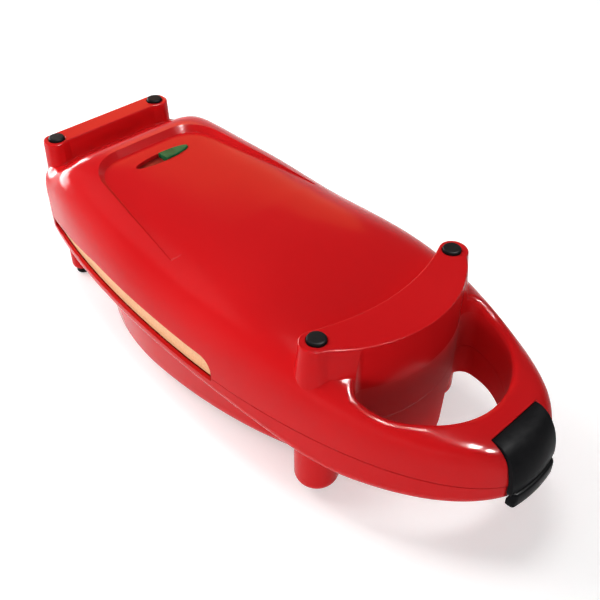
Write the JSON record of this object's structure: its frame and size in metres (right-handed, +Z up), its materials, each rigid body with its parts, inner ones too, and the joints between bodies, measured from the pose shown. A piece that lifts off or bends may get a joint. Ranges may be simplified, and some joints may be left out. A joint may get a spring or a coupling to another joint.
{
  "type": "electric skillet",
  "caption": "Clamshell countertop skillet that opens flat into two heated oval pans, with a loop handle moulded into the front, side openings and a latch clip on the nose.",
  "frame": {"origin": "middle of the footprint of the whole part, on the surface that its base pads stand on", "axes": "+Z up, +Y from the handle nose to the hinge, +X to the right seen from the handle nose"},
  "size_m": [0.159, 0.4052, 0.118],
  "materials": {
    "red_shell": "high gloss moulded red",
    "pan_coating": "copper-coloured non-stick coating, satin",
    "element_steel": "dull heat-darkened sheath",
    "bright_steel": "plain bright steel",
    "bright_aluminium": "bright rolled sheet",
    "fuse_white": "off-white heat-proof moulding",
    "lens_red": "clear dark red lens",
    "lens_green": "clear dark green lens",
    "black_plastic": "black, fine satin",
    "lamp_glass": "clear small lamps",
    "pad_rubber": "soft black rubber",
    "screw_steel": "plated steel",
    "black_rubber": "black rubber",
    "lead_jacket": "pale heat-proof jacket"
  },
  "bodies": {
    "base": {"base_shell": "red_shell", "base_handle_plate": "red_shell", "base_pan": "pan_coating", "base_heating_element": "element_steel", "base_element_straps": "bright_steel", "base_heat_reflector": "bright_aluminium", "base_thermostat": "bright_steel", "thermal_fuse": "fuse_white", "base_front_pads": "pad_rubber", "base_rear_pads": "pad_rubber", "base_screws": "screw_steel", "hinge_pins": "screw_steel", "cord_gland": "black_rubber", "terminal_block": "fuse_white", "supply_leads": "lead_jacket", "base_hinge_lead": "black_rubber", "lead_sleeve": "black_rubber"},
    "lid": {"lid_shell": "red_shell", "lid_handle_plate": "red_shell", "lid_pan": "pan_coating", "lid_heating_element": "element_steel", "lid_element_straps": "bright_steel", "lid_heat_reflector": "bright_aluminium", "lid_thermostat": "bright_steel", "power_lens_red": "lens_red", "ready_lens_green": "lens_green", "lamp_holder": "black_plastic", "indicator_lamps": "lamp_glass", "lid_front_pads": "pad_rubber", "lid_rear_pads": "pad_rubber", "lid_screws": "screw_steel", "latch_pin": "screw_steel", "lid_leads": "lead_jacket", "lid_hinge_lead": "black_rubber"},
    "latch": {"latch_clip": "black_plastic"}
  },
  "joints": [
    {"name": "lid_hinge", "type": "hinge", "parent": "base", "child": "lid", "pos_m": [0, 0.1961, 0.059], "axis": [-1, 0, 0], "range_deg": [0, 180]},
    {"name": "latch_pivot", "type": "hinge", "parent": "lid", "child": "latch", "pos_m": [0, -0.1834, 0.0804], "axis": [-1, 0, 0], "range_deg": [0, 30]}
  ]
}
